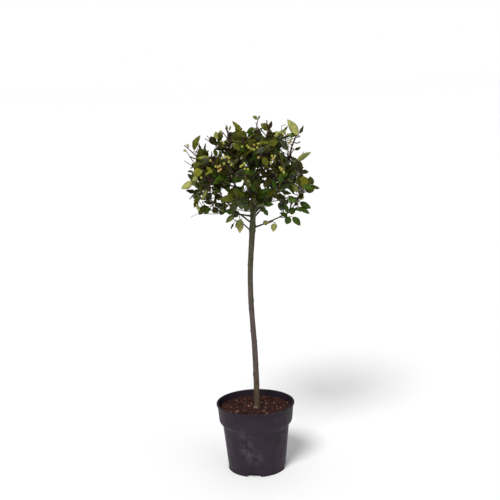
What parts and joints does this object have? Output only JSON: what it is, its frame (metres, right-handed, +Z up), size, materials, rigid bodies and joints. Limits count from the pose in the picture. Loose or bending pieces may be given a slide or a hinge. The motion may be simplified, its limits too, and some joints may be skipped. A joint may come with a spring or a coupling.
{
  "type": "standard holly tree in nursery pot",
  "caption": "Lollipop topiary: a mop-headed holly with pale unripe berries on a clear stem, rooted in a round plastic nursery pot of compost.",
  "frame": {"origin": "centre of the flat underside of the pot, on the surface the plant stands on", "axes": "+Z up the trunk, +X to the right and -Y towards the viewer when the longest low bough is on the right"},
  "size_m": [0.3758, 0.3842, 0.9894],
  "materials": {
    "pot": "satin black-grey moulded plastic, dusty and scuffed",
    "compost": "dark bark chips and compost, rough",
    "bark": "grey-brown bark with an olive-green cast, fine ridges",
    "foliage": "glossy dark green leaves with pale undersides, reddish-brown twigs"
  },
  "bodies": {
    "root": {"pot": "pot", "compost": "compost", "trunk": "bark", "bough_lower_1": "bark", "bough_lower_2": "bark", "bough_lower_3": "bark", "bough_lower_4": "bark", "bough_lower_5": "bark", "bough_middle_1": "bark", "bough_middle_2": "bark", "bough_middle_3": "bark", "bough_middle_4": "bark", "bough_middle_5": "bark", "bough_top_1": "bark", "bough_top_2": "bark", "bough_top_3": "bark", "foliage_lower_1": "foliage", "foliage_lower_2": "foliage", "foliage_lower_3": "foliage", "foliage_lower_4": "foliage", "foliage_lower_5": "foliage", "foliage_middle_1": "foliage", "foliage_middle_2": "foliage", "foliage_middle_3": "foliage", "foliage_middle_4": "foliage", "foliage_middle_5": "foliage", "foliage_top_1": "foliage", "foliage_top_2": "foliage", "foliage_top_3": "foliage", "foliage_low_shoot": "foliage"}
  },
  "joints": []
}
